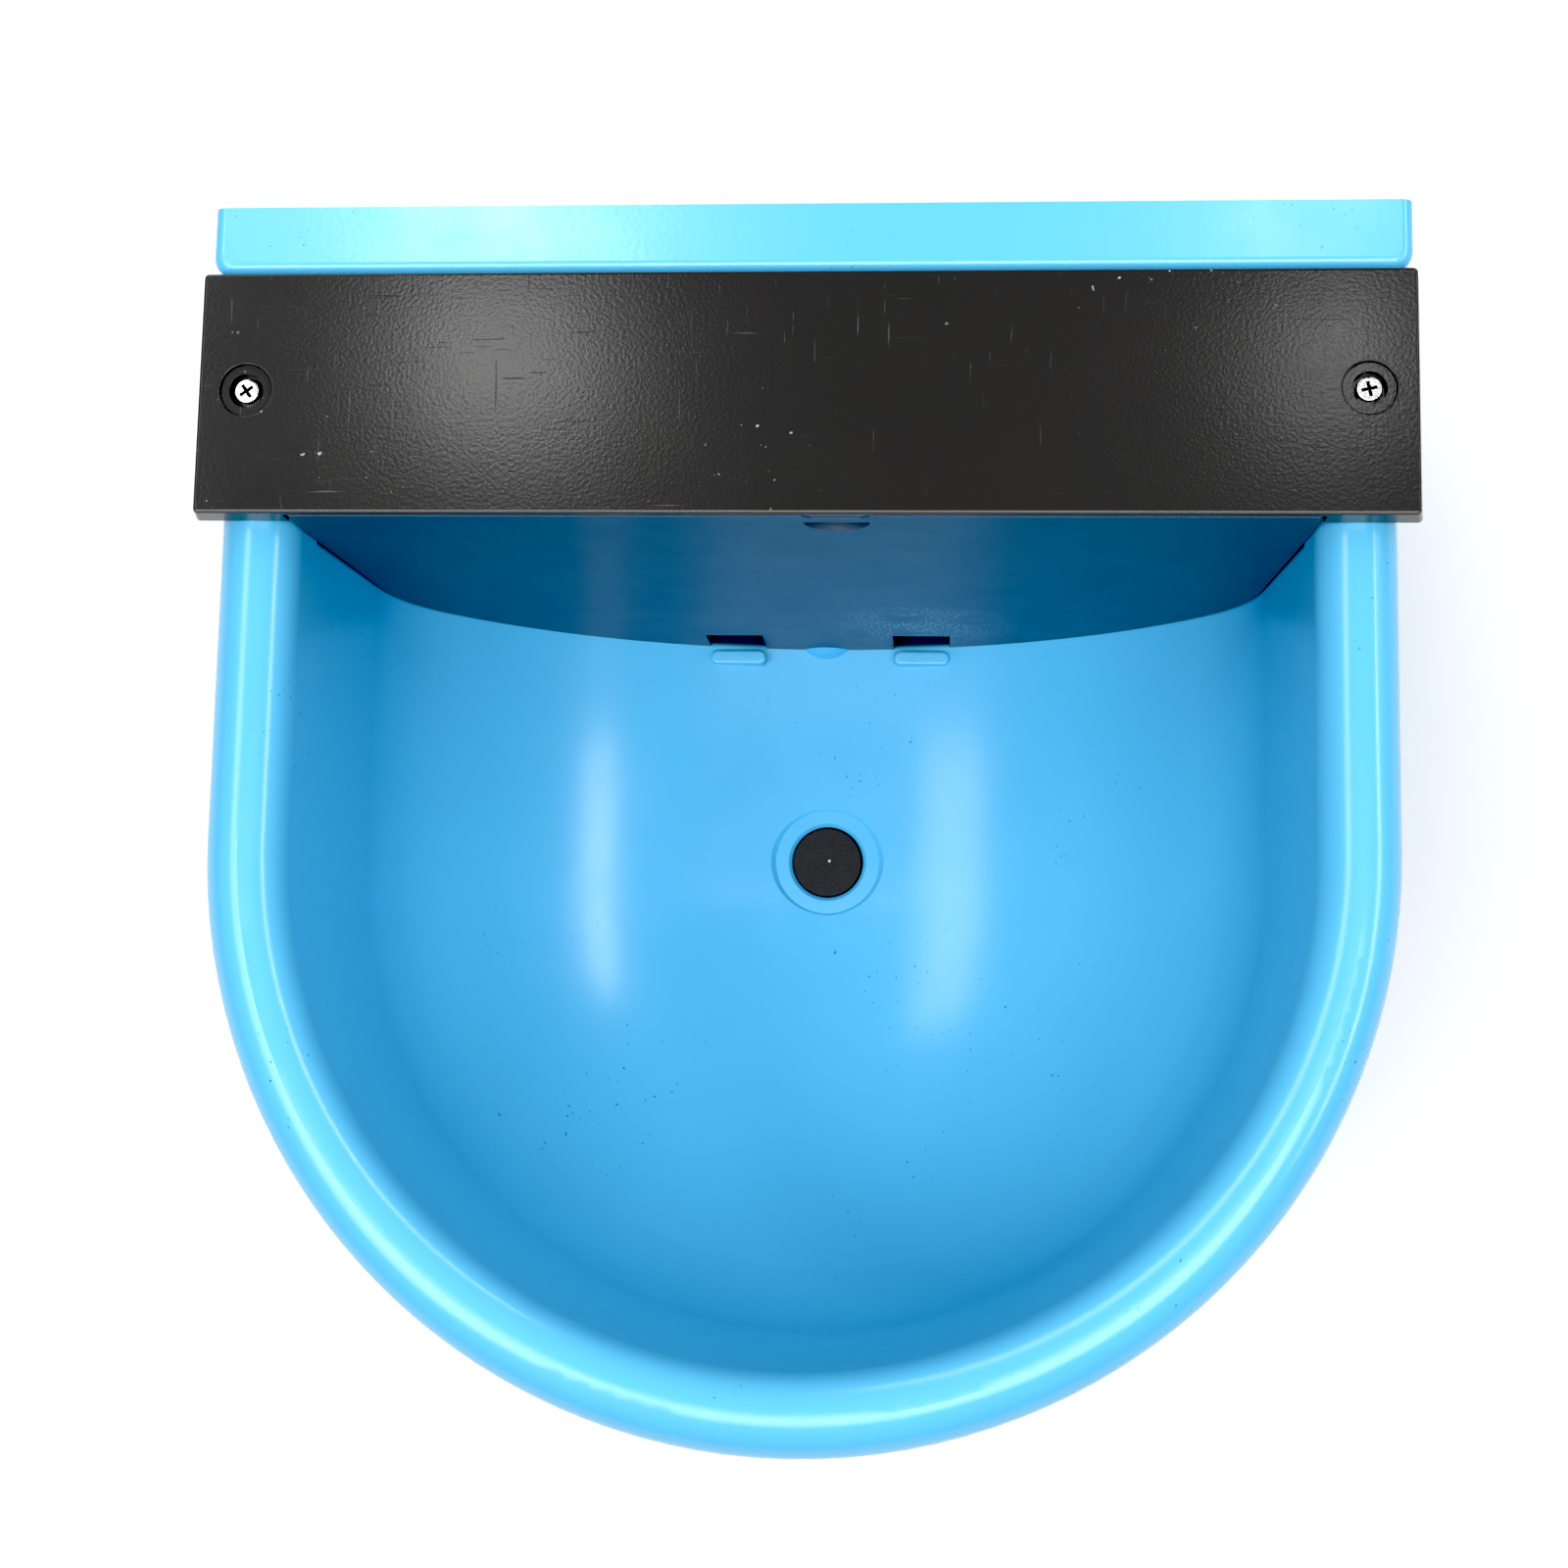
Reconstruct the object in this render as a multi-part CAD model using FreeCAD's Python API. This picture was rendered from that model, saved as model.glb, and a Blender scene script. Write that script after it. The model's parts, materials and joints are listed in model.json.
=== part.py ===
import FreeCAD
import Part

import math
import os

# Livestock water bowl with a float valve, for a wall or a fence.
# Millimetres. +X is to the drinking animal's right, +Y points at the wall, +Z is up.
# The origin is the bottom centre of the overall box, on the surface that the bowl stands on.

V = FreeCAD.Vector

# Bowl
HALF_WIDTH = 145.0      # outer half width, and the radius of the round front
NOSE_Y = -6.55          # the round front's axis
RIM_TOP = 168.0
RIM_R = 10.0            # the half-round roll along the rim
SKIRT_BOTTOM = 145.0
HEM = 11.0              # how much of the wall belongs to the rim's node, along the wall
WALL = 3.0
FLOOR_Z = 12.0          # lowest point of the basin
FLOOR_R = 140.0         # the floor's long arc
CORNER_R = 58.0         # the arc between floor and wall
DRAFT = math.radians(4.0)
CREST = HALF_WIDTH - RIM_R
FOOT_IN = 62.0          # the D-shaped foot ring's inner half width
FOOT_WALL = 4.0
SPLIT_Y = -20.0         # the basin is drawn in two nodes that meet here

# Back plate, a shallow tray open towards the wall
PLATE_HALF = 148.3
PLATE_FRONT = 134.2
PLATE_BACK = 151.55
PLATE_TOP = 169.4
PLATE_WALL = 3.0
PLATE_CORNER_R = 5.0
PLATE_EDGE_R = 3.0
PLATE_LOW_R = 18.0
RIB_XS = (-84.0, -28.0, 28.0, 84.0)
RIB_T = 2.5
BOLT_X = 134.0
BOLT_ZS = (30.0, 95.0)
BOLT_R = 4.0
BOLT_BOSS_R = 7.0

# Drain
DRAIN_Y = 4.45
SPOT_R = 15.6           # the flat round the drain, with a bevel up to the floor
SPOT_DEPTH = 0.4
SPOT_BEVEL = 1.6
SEAT_BEVEL = 1.0        # round the plug
PLUG_HEAD_R = 10.6
PLUG_HEAD_H = 4.0
PLUG_STEM_R = 8.0
PLUG_BOTTOM = 1.0
DRAIN_BOSS_BOTTOM = 2.5
DRAIN_BOSS_R = 15.0

# Baffle between the basin and the float chamber
BAFFLE_FRONT = 69.65
BAFFLE_T = 3.0
BAFFLE_GAP = 0.35
BAFFLE_TOP = 173.9
BAFFLE_LEAN = 0.55      # degrees back from upright
SLOT_IN, SLOT_OUT = 19.4, 36.3   # the two water ways, measured from the middle
SLOT_TOP = 33.5
VIEW_X = 9.3                     # the finger opening near the top edge
VIEW_R = 8.1
VIEW_BAR_TOP = 2.0               # below the baffle's top edge
VIEW_BAR_BOTTOM = 5.4
PAD_Y0, PAD_Y1 = 64.05, 68.45
PAD_RISE = 1.2
PAD_EDGE_R = 0.9
MOUND_X = -1.3
MOUND_BACK = 6.5        # the mound's middle, behind the baffle's front
MOUND_R = 10.3
MOUND_RISE = 6.0

# Cover
COVER_HALF = 147.6
COVER_FOOT = 149.4      # half width at the foot, wider than the top
COVER_Y0, COVER_Y1 = 71.45, 131.95
COVER_TOP = 176.4
COVER_BOTTOM = RIM_TOP + 0.05
COVER_T = 2.4
LIP_X = 126.0           # the front lip stops here, so that the baffle's top edge meets the cover
SCREW_X = 136.0
SCREW_Y = 102.3
DISH_R = 6.4
DISH_DEPTH = 0.9
CUP_R = 4.2
CUP_WALL = 2.2
CUP_FLOOR = 173.2
SCREW_R = 1.75
SCREW_HEAD_R = 3.1
SCREW_HEAD_H = 2.2
SCREW_TIP = 155.0

# Float valve, on one horizontal axis through the left wall
VALVE_Y = 104.0
VALVE_Z = 125.0
BOSS_IN_X, BOSS_OUT_X = -118.5, -127.5
INLET_END_X = -144.5
INLET_R = 10.475        # G1/2 male thread, over its crests
SHANK_R = 10.2
FREE_THREAD_X = -135.6
GASKET_T = 2.0
WASHER_T = 1.5
NUT_T = 6.0
NUT_FLATS = 27.0
FLANGE_R = 15.0
FLANGE_X = -112.5
BARREL_R = 9.5
BARREL_END_X = -84.0
BORE_R = 7.0
GUIDE_X = -97.0
GUIDE_R = 5.08
PLUNGER_R = 5.0
SEAT_X0, SEAT_X1 = -108.0, -103.0
SEAT_FACE_X = -102.5
TRAVEL = 3.55
TIP_R = 2.5

# Float arm, drawn with the float up, then turned down about its pivot
PIVOT_X, PIVOT_Z = -76.0, 118.0
SWING = 28.0            # degrees from full bowl to empty bowl
EAR_X = -92.0
EAR_Y0, EAR_Y1 = 7.0, 10.0
EAR_R = 5.0
STOP_X = -82.35         # the face that the lever's heel meets when the float hangs
PIN_R = 2.0
ROD_R = 2.5
FLOAT_X0, FLOAT_X1 = -20.0, 60.0
FLOAT_HALF_Y = 21.0
FLOAT_Z0, FLOAT_Z1 = 94.0, 126.0
FLOAT_SEAM_Z = 121.0
FLOAT_WALL = 2.0


# Small makers

def box(x0, x1, y0, y1, z0, z1):
    return Part.makeBox(x1 - x0, y1 - y0, z1 - z0, V(x0, y0, z0))


def rod_x(x0, x1, radius, y=VALVE_Y, z=VALVE_Z):
    return Part.makeCylinder(radius, x1 - x0, V(x0, y, z), V(1, 0, 0))


def rod_y(y0, y1, radius, x, z):
    return Part.makeCylinder(radius, y1 - y0, V(x, y0, z), V(0, 1, 0))


def rod_z(z0, z1, radius, x, y):
    return Part.makeCylinder(radius, z1 - z0, V(x, y, z0), V(0, 0, 1))


def cone_z(z0, z1, r0, r1, x, y):
    return Part.makeCone(r0, r1, z1 - z0, V(x, y, z0), V(0, 0, 1))


def hexagon_x(x0, x1, flats, y=VALVE_Y, z=VALVE_Z):
    """A hexagonal bar along X."""
    corner = flats / 2 / math.cos(math.pi / 6)
    turns = [math.pi / 3 * k for k in range(7)]
    points = [V(x0, y + corner * math.cos(a), z + corner * math.sin(a)) for a in turns]
    return Part.Face(Part.makePolygon(points)).extrude(V(x1 - x0, 0, 0))


def slab(points, y0, y1):
    """A plate outlined by (x, z) points, from y0 to y1."""
    corners = [V(x, y0, z) for x, z in points + points[:1]]
    return Part.Face(Part.makePolygon(corners)).extrude(V(0, y1 - y0, 0))


def fused(shapes):
    return shapes[0].multiFuse(shapes[1:]).removeSplitter()


def mirrored(shape):
    return shape.mirror(V(0, 0, 0), V(1, 0, 0))


def both_sides(shape):
    return [shape, mirrored(shape)]


def edges_where(shape, test):
    return [e for e in shape.Edges if test(e)]


# The bowl's half section, in X and Z

def wall_and_corner():
    """Where the wall leaves the rim, and the centre of the arc that joins wall and floor."""
    down = V(-math.sin(DRAFT), 0, -math.cos(DRAFT))
    inward = V(-math.cos(DRAFT), 0, math.sin(DRAFT))
    start = V(CREST, 0, RIM_TOP - RIM_R) + inward * RIM_R
    floor_centre = V(0, 0, FLOOR_Z + FLOOR_R)
    offset = start + inward * CORNER_R - floor_centre
    along = offset.dot(down)
    reach = -along + math.sqrt(along**2 - offset.dot(offset) + (FLOOR_R - CORNER_R) ** 2)
    corner_centre = start + down * reach + inward * CORNER_R
    return start, inward, corner_centre, floor_centre


def arc_about(centre, radius, start_angle, end_angle, y=0.0):
    """An arc in the XZ plane, with angles in radians from +X towards +Z."""
    def at(angle):
        return V(centre.x + radius * math.cos(angle), y, centre.z + radius * math.sin(angle))

    middle = (start_angle + end_angle) / 2
    return Part.Arc(at(start_angle), at(middle), at(end_angle)).toShape()


def surface_edges(depth):
    """The basin's surface, moved by depth into the plastic: floor, corner, wall, hem and rim."""
    _, inward, corner_centre, floor_centre = wall_and_corner()
    to_corner = corner_centre - floor_centre
    join_angle = math.atan2(to_corner.z, to_corner.x)
    wall_angle = math.atan2(-inward.z, -inward.x)
    floor_arc = arc_about(floor_centre, FLOOR_R + depth, -math.pi / 2, join_angle)
    corner_arc = arc_about(corner_centre, CORNER_R + depth, join_angle, wall_angle)
    rim_centre = V(CREST, 0, RIM_TOP - RIM_R)
    rim_arc = arc_about(rim_centre, RIM_R - depth, math.pi - DRAFT, math.pi / 2)
    wall_low, wall_high = corner_arc.lastVertex().Point, rim_arc.firstVertex().Point
    seam = wall_high + (wall_low - wall_high).normalize() * HEM
    wall = Part.LineSegment(wall_low, seam).toShape()
    hem = Part.LineSegment(seam, wall_high).toShape()
    return [floor_arc, corner_arc, wall, hem, rim_arc]


def face_between(inner, outer, lines):
    straight = [Part.LineSegment(a, b).toShape() for a, b in lines]
    return Part.Face(Part.Wire(Part.__sortEdges__(inner + outer + straight)))


def wall_profile():
    """The basin's floor and wall up to the hem, cut through one side."""
    inner, outer = surface_edges(0.0)[:3], surface_edges(WALL)[:3]
    lines = [
        (inner[-1].lastVertex().Point, outer[-1].lastVertex().Point),
        (V(0, 0, FLOOR_Z - WALL), V(0, 0, FLOOR_Z)),
    ]
    return face_between(inner, outer, lines)


def rim_profile():
    """The hem, the rolled rim and its skirt, cut through one side."""
    inner, outer = surface_edges(0.0)[3:], surface_edges(WALL)[3:]
    rim_low = RIM_TOP - RIM_R
    turn_centre = V(CREST, 0, rim_low)
    turns = [arc_about(turn_centre, r, math.pi / 2, 0.0) for r in (RIM_R, RIM_R - WALL)]
    skirt_in = HALF_WIDTH - WALL
    lines = [
        (inner[0].firstVertex().Point, outer[0].firstVertex().Point),
        (V(HALF_WIDTH, 0, rim_low), V(HALF_WIDTH, 0, SKIRT_BOTTOM)),
        (V(HALF_WIDTH, 0, SKIRT_BOTTOM), V(skirt_in, 0, SKIRT_BOTTOM)),
        (V(skirt_in, 0, SKIRT_BOTTOM), V(skirt_in, 0, rim_low)),
    ]
    return face_between(inner + turns, outer, lines)


def inside_profile(gap, top):
    """Half of the space inside the basin, less a gap from its surface, up to a level top."""
    edges = surface_edges(-gap)[:4]
    wall_end = edges[-1].lastVertex().Point
    lines = [
        (wall_end, V(wall_end.x, 0, top)),
        (V(wall_end.x, 0, top), V(0, 0, top)),
        (V(0, 0, top), V(0, 0, FLOOR_Z + gap)),
    ]
    return face_between(edges, [], lines)


def swept(half_face, y_end=PLATE_FRONT):
    """A half section carried straight from the back to the nose's axis, and round the front."""
    face = half_face.copy()
    face.translate(V(0, NOSE_Y, 0))
    straight = face.extrude(V(0, y_end - NOSE_Y, 0))
    nose = face.revolve(V(0, NOSE_Y, 0), V(0, 0, 1), -180)
    return fused(both_sides(straight) + [nose])


def leaning(shape):
    """Tipped back by the baffle's lean."""
    copy = shape.copy()
    copy.rotate(V(0, BAFFLE_FRONT, FLOOR_Z), V(1, 0, 0), -BAFFLE_LEAN)
    return copy


# Pieces of the bowl

def wall_plate():
    """The plate that bolts to the wall: a tray with ribs and bolt bosses."""
    plate = box(-PLATE_HALF, PLATE_HALF, PLATE_FRONT, PLATE_BACK, 0, PLATE_TOP)
    plate = plate.makeFillet(PLATE_LOW_R, edges_where(
        plate, lambda e: e.BoundBox.YLength > 1 and e.BoundBox.ZMax < 1))
    plate = plate.makeFillet(PLATE_CORNER_R, edges_where(
        plate, lambda e: e.BoundBox.YMax < PLATE_FRONT + 0.01 and e.BoundBox.ZLength > 50))
    plate = plate.makeFillet(PLATE_EDGE_R, edges_where(
        plate, lambda e: e.BoundBox.YMax < PLATE_FRONT + 0.01 and e.BoundBox.ZMin > PLATE_TOP - 0.01))
    inset = PLATE_WALL
    pocket = box(-PLATE_HALF + inset, PLATE_HALF - inset, PLATE_FRONT + inset, PLATE_BACK + 1,
                 inset, PLATE_TOP - inset)
    pocket = pocket.makeFillet(PLATE_LOW_R - inset, edges_where(
        pocket, lambda e: e.BoundBox.YLength > 1 and e.BoundBox.ZMax < inset + 1))
    ribs = [box(x - RIB_T / 2, x + RIB_T / 2, PLATE_FRONT + 1, PLATE_BACK, 1, PLATE_TOP - 1) for x in RIB_XS]
    bolt_places = [(x, z) for x in (-BOLT_X, BOLT_X) for z in BOLT_ZS]
    bosses = [rod_y(PLATE_FRONT + 1, PLATE_BACK, BOLT_BOSS_R, x, z) for x, z in bolt_places]
    holes = [rod_y(PLATE_FRONT - 1, PLATE_BACK + 1, BOLT_R, x, z) for x, z in bolt_places]
    return fused([plate.cut(pocket)] + ribs + bosses).cut(holes)


def foot_ring():
    """A D-shaped ring under the floor that the bowl stands on, notched to let water out."""
    rise = FLOOR_Z + 14.0
    points = [V(x, 0, z) for x, z in (
        (FOOT_IN, 0), (FOOT_IN + FOOT_WALL, 0), (FOOT_IN + FOOT_WALL, rise), (FOOT_IN, rise), (FOOT_IN, 0))]
    front = NOSE_Y - FOOT_IN
    notch = rod_y(front - 20, front + 20, 7.0, 0, 0)
    ring = swept(Part.Face(Part.makePolygon(points)))
    return ring.cut([swept(inside_profile(-WALL, RIM_TOP)), notch])


def bowl_rim():
    """The rolled rim with its skirt, the cover screws' bosses and the ledge behind the cover."""
    bosses = both_sides(rod_z(SKIRT_BOTTOM + 3, RIM_TOP - 1, 4.2, SCREW_X, SCREW_Y))
    ledge = box(-PLATE_HALF, PLATE_HALF, COVER_Y1 - 3.5, PLATE_FRONT, RIM_TOP - WALL, RIM_TOP)
    holes = both_sides(rod_z(SCREW_TIP - 1, RIM_TOP + 1, SCREW_R + 0.08, SCREW_X, SCREW_Y))
    return fused([swept(rim_profile()), ledge] + bosses).cut(holes)


def baffle_pads():
    """Two stops on the floor in front of the water ways, and the mound between them."""
    radius = (PAD_Y1 - PAD_Y0) / 2
    middle_y = (PAD_Y0 + PAD_Y1) / 2
    top = FLOOR_Z + SLOT_OUT**2 / (2 * FLOOR_R) + PAD_RISE
    bottom = FLOOR_Z - WALL
    pad = fused([
        box(SLOT_IN + radius, SLOT_OUT - radius, PAD_Y0, PAD_Y1, bottom, top),
        rod_z(bottom, top, radius, SLOT_IN + radius, middle_y),
        rod_z(bottom, top, radius, SLOT_OUT - radius, middle_y),
    ])
    pad = pad.makeFillet(PAD_EDGE_R, edges_where(pad, lambda e: e.BoundBox.ZMin > top - 1e-6))
    return both_sides(pad) + [mound(0.0)]


def mound(gap):
    """The rounded mound that the baffle straddles, grown by a gap."""
    middle = V(MOUND_X, BAFFLE_FRONT + MOUND_BACK, FLOOR_Z + MOUND_RISE - MOUND_R)
    return Part.makeSphere(MOUND_R + gap, middle)


def baffle_stops():
    """Ribs on the side walls that the baffle leans back on."""
    y0 = BAFFLE_FRONT + BAFFLE_T + BAFFLE_GAP
    top = RIM_TOP - RIM_R - HEM - 1
    rib = box(HALF_WIDTH - 29, HALF_WIDTH, y0, y0 + WALL, FLOOR_Z + 90, top)
    return both_sides(leaning(rib))


def basin():
    """The basin's front and rear, split so that each is a simpler shell."""
    drain_boss = rod_z(DRAIN_BOSS_BOTTOM, FLOOR_Z - 0.5, DRAIN_BOSS_R, 0, DRAIN_Y)
    inlet_boss = rod_x(BOSS_OUT_X, BOSS_IN_X, FLANGE_R + 2)
    to_mid_wall = swept(inside_profile(-WALL / 2, RIM_TOP))
    inner = [piece.common(to_mid_wall) for piece in baffle_pads() + baffle_stops()]
    whole = fused([swept(wall_profile()), drain_boss, inlet_boss] + inner)
    spot = FLOOR_Z - SPOT_DEPTH
    head_r = PLUG_HEAD_R + 0.15
    whole = whole.cut([
        cone_z(spot, spot + SPOT_BEVEL, SPOT_R, SPOT_R + SPOT_BEVEL, 0, DRAIN_Y),
        cone_z(spot - SEAT_BEVEL, spot, head_r, head_r + SEAT_BEVEL, 0, DRAIN_Y),
        rod_z(spot - PLUG_HEAD_H, spot, head_r, 0, DRAIN_Y),
        rod_z(0, FLOOR_Z, PLUG_STEM_R + 0.12, 0, DRAIN_Y),
        rod_x(BOSS_OUT_X - 1, BOSS_IN_X + 1, SHANK_R + 0.4),
    ])
    far = 2 * HALF_WIDTH
    front = whole.common(box(-far, far, -far, SPLIT_Y, -1, far))
    rear = whole.common(box(-far, far, SPLIT_Y, far, -1, far))
    return front, rear


def drain_plug():
    top = FLOOR_Z - SPOT_DEPTH + 0.2
    under_head = FLOOR_Z - SPOT_DEPTH - PLUG_HEAD_H
    head = rod_z(under_head, top, PLUG_HEAD_R, 0, DRAIN_Y)
    head = head.makeFillet(0.7, edges_where(head, lambda e: e.BoundBox.ZMin > top - 1e-6))
    stem = cone_z(PLUG_BOTTOM, under_head + 0.5, PLUG_STEM_R - 0.8, PLUG_STEM_R, 0, DRAIN_Y)
    hollow = rod_z(PLUG_BOTTOM - 1, PLUG_BOTTOM + 3.5, 4.5, 0, DRAIN_Y)
    gate = rod_z(top - 0.5, top + 0.25, 0.45, 0.6, DRAIN_Y + 0.3)
    return fused([head, stem, gate]).cut(hollow)


def baffle_plate():
    face = inside_profile(BAFFLE_GAP, BAFFLE_TOP)
    face.translate(V(0, BAFFLE_FRONT, 0))
    plate = fused(both_sides(face.extrude(V(0, BAFFLE_T, 0))))
    y0, y1 = BAFFLE_FRONT - 1, BAFFLE_FRONT + BAFFLE_T + 1
    ways = both_sides(box(SLOT_IN, SLOT_OUT, y0, y1, 0, SLOT_TOP))
    bar_top, bar_bottom = BAFFLE_TOP - VIEW_BAR_TOP, BAFFLE_TOP - VIEW_BAR_BOTTOM
    notch = slab([(VIEW_X - VIEW_R + 2, bar_top), (VIEW_X + VIEW_R - 2, bar_top),
                  (VIEW_X + VIEW_R + 1, BAFFLE_TOP + 1), (VIEW_X - VIEW_R - 1, BAFFLE_TOP + 1)], y0, y1)
    opening = rod_y(y0, y1, VIEW_R, VIEW_X, bar_bottom).cut(
        box(VIEW_X - 20, VIEW_X + 20, y0 - 1, y1 + 1, bar_bottom, BAFFLE_TOP))
    plate = plate.cut(ways + [notch, opening])
    return leaning(plate).cut(mound(BAFFLE_GAP))


def valve_cover():
    """An upturned tray whose side lips stand on the rim, with a stepped dish round each screw."""
    outer = slab([(-COVER_FOOT, COVER_BOTTOM), (COVER_FOOT, COVER_BOTTOM),
                  (COVER_HALF, COVER_TOP), (-COVER_HALF, COVER_TOP)], COVER_Y0, COVER_Y1)
    outer = outer.makeFillet(1.2, edges_where(
        outer, lambda e: e.BoundBox.ZLength > 1))
    outer = outer.makeFillet(0.8, edges_where(outer, lambda e: e.BoundBox.ZMin > COVER_TOP - 1e-6))
    under = COVER_TOP - COVER_T
    hollow = box(-COVER_HALF + COVER_T, COVER_HALF - COVER_T, COVER_Y0 + COVER_T, COVER_Y1 - COVER_T,
                 COVER_BOTTOM - 1, under)
    front_gap = box(-LIP_X, LIP_X, COVER_Y0 - 1, COVER_Y0 + COVER_T + 1, COVER_BOTTOM - 1, under)
    cups = both_sides(rod_z(COVER_BOTTOM, under + 1, CUP_R + CUP_WALL, SCREW_X, SCREW_Y))
    cover = fused([outer.cut([hollow, front_gap])] + cups)
    cover = cover.cut(
        both_sides(rod_z(COVER_TOP - DISH_DEPTH, COVER_TOP + 1, DISH_R, SCREW_X, SCREW_Y))
        + both_sides(rod_z(CUP_FLOOR, COVER_TOP, CUP_R, SCREW_X, SCREW_Y))
        + both_sides(rod_z(COVER_BOTTOM - 1, COVER_TOP, SCREW_R + 0.3, SCREW_X, SCREW_Y)))
    dish_rims = edges_where(cover, lambda e: e.BoundBox.ZMin > COVER_TOP - 1e-6
                            and abs(e.BoundBox.XLength - 2 * DISH_R) < 0.01)
    return cover.makeFillet(0.5, dish_rims)


def cover_screw(x, turn):
    """A pan head screw, with its cross turned by so many degrees."""
    head = rod_z(CUP_FLOOR, CUP_FLOOR + SCREW_HEAD_H, SCREW_HEAD_R, x, SCREW_Y)
    top = CUP_FLOOR + SCREW_HEAD_H
    head = head.makeFillet(0.5, edges_where(head, lambda e: e.BoundBox.ZMin > top - 1e-6))
    shank = rod_z(SCREW_TIP + 3, CUP_FLOOR + 0.5, SCREW_R, x, SCREW_Y)
    tip = cone_z(SCREW_TIP, SCREW_TIP + 3, 0.3, SCREW_R, x, SCREW_Y)
    reach, half = 1.9, 0.42
    cross = [box(x - reach, x + reach, SCREW_Y - half, SCREW_Y + half, top - 1.2, top + 1),
             box(x - half, x + half, SCREW_Y - reach, SCREW_Y + reach, top - 1.2, top + 1)]
    for bar in cross:
        bar.rotate(V(x, SCREW_Y, 0), V(0, 0, 1), turn)
    return fused([head, shank, tip]).cut(cross)


def cover_screws():
    return Part.makeCompound([cover_screw(-SCREW_X, 35), cover_screw(SCREW_X, 12)])


# The valve

def ring_x(x0, x1, r_in, r_out):
    return rod_x(x0, x1, r_out).cut(rod_x(x0 - 1, x1 + 1, r_in))


def valve_body():
    ear = fused([
        box(EAR_X, PIVOT_X, VALVE_Y + EAR_Y0, VALVE_Y + EAR_Y1, PIVOT_Z - EAR_R, VALVE_Z + 4),
        rod_y(VALVE_Y + EAR_Y0, VALVE_Y + EAR_Y1, EAR_R, PIVOT_X, PIVOT_Z),
    ])
    stop = box(EAR_X, STOP_X, VALVE_Y - EAR_Y1, VALVE_Y + EAR_Y1, PIVOT_Z - 9.5, PIVOT_Z - EAR_R)
    other_ear = ear.mirror(V(0, VALVE_Y, 0), V(0, 1, 0))
    tube = fused([
        rod_x(INLET_END_X, FREE_THREAD_X, INLET_R),
        rod_x(FREE_THREAD_X, BOSS_IN_X + GASKET_T, SHANK_R),
        rod_x(BOSS_IN_X + GASKET_T, FLANGE_X, FLANGE_R),
        rod_x(FLANGE_X, BARREL_END_X, BARREL_R),
        ear, other_ear, stop,
    ])
    cuts = [
        rod_x(INLET_END_X - 1, GUIDE_X, BORE_R),
        rod_x(GUIDE_X - 1, BARREL_END_X + 20, GUIDE_R),
        box(SEAT_FACE_X + 0.5, GUIDE_X - 0.5, VALVE_Y - 4.5, VALVE_Y + 4.5, VALVE_Z - 12, VALVE_Z - 2),
        rod_y(VALVE_Y - 20, VALVE_Y + 20, PIN_R + 0.05, PIVOT_X, PIVOT_Z),
    ]
    return tube.cut(cuts).removeSplitter()


def valve_seat():
    insert = fused([rod_x(SEAT_X0, SEAT_X1, BORE_R - 0.02), rod_x(SEAT_X1, SEAT_FACE_X, 3.2)])
    return insert.cut(rod_x(SEAT_X0 - 1, SEAT_FACE_X + 1, 2.0))


def inlet_strainer():
    cup = fused([rod_x(-141.5, -140.3, BORE_R - 0.05), rod_x(-140.3, -126.0, 5.4)])
    cup = cup.cut(rod_x(-142.0, -127.2, 4.4))
    windows = [box(-138.5, -129.0, VALVE_Y - 8, VALVE_Y + 8, VALVE_Z - 1.3, VALVE_Z + 1.3),
               box(-138.5, -129.0, VALVE_Y - 1.3, VALVE_Y + 1.3, VALVE_Z - 8, VALVE_Z + 8)]
    return cup.cut(windows)


def inlet_locknut():
    x1 = BOSS_OUT_X - WASHER_T
    x0 = x1 - NUT_T
    nut = hexagon_x(x0, x1, NUT_FLATS).common(rod_x(x0, x1, NUT_FLATS / 2 + 1.3))
    return nut.cut(rod_x(x0 - 1, x1 + 1, SHANK_R + 0.08))


def plunger_parts():
    """Plunger, seal and O-ring, as they stand with the valve open."""
    face = SEAT_FACE_X + 0.05 + TRAVEL
    left = face + 0.5
    tip = -81.65 + TRAVEL
    plunger = fused([rod_x(left, -83.0, PLUNGER_R), rod_x(-83.0, tip, TIP_R)])
    plunger = plunger.cut([rod_x(left - 1, left + 1.5, 4.0), ring_x(-92.0, -90.0, 4.0, 6.0)])
    seal = rod_x(face, face + 2.0, 3.95)
    o_ring = ring_x(-91.95, -90.05, 4.02, 5.03)
    return plunger, seal, o_ring


def pivot_pin():
    y0 = VALVE_Y - EAR_Y1
    y1 = VALVE_Y + EAR_Y1 + 3.5
    shaft = rod_y(y0 - 0.2, y1, PIN_R, PIVOT_X, PIVOT_Z)
    head = rod_y(y0 - 1.8, y0 - 0.2, 3.6, PIVOT_X, PIVOT_Z)
    clip_y = VALVE_Y + EAR_Y1 + 0.6
    groove = rod_y(clip_y, clip_y + 0.9, 3.0, PIVOT_X, PIVOT_Z).cut(
        rod_y(clip_y - 1, clip_y + 2, 1.5, PIVOT_X, PIVOT_Z))
    return fused([shaft, head]).cut(groove)


def pivot_clip():
    y0 = VALVE_Y + EAR_Y1 + 0.65
    ring = rod_y(y0, y0 + 0.8, 4.0, PIVOT_X, PIVOT_Z).cut(rod_y(y0 - 1, y0 + 2, 1.52, PIVOT_X, PIVOT_Z))
    mouth = box(PIVOT_X - 1.1, PIVOT_X + 1.1, y0 - 1, y0 + 2, PIVOT_Z - 6, PIVOT_Z)
    return ring.cut(mouth)


# The float arm, drawn level

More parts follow.
